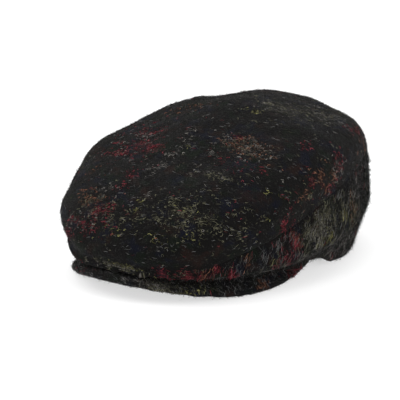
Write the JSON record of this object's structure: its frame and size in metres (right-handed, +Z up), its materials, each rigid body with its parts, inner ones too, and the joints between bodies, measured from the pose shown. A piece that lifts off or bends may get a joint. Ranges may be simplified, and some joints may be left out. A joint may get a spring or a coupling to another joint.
{
  "type": "flat cap",
  "caption": "Soft flat cap of thick woven wool: a rounded top panel overhanging two side panels and a stiff curved peak, open below for the head.",
  "frame": {"origin": "on the floor under the middle of the cap's bounding box", "axes": "+Z up, -Y towards the peak and the front, +X towards the wearer's left"},
  "size_m": [0.2218, 0.2728, 0.128],
  "materials": {
    "crown_top": "fuzzy woven wool",
    "side_left": "fuzzy woven wool",
    "side_right": "fuzzy woven wool",
    "peak": "fuzzy woven wool"
  },
  "bodies": {
    "root": {"crown_top": "crown_top", "side_left": "side_left", "side_right": "side_right", "peak": "peak"}
  },
  "joints": []
}
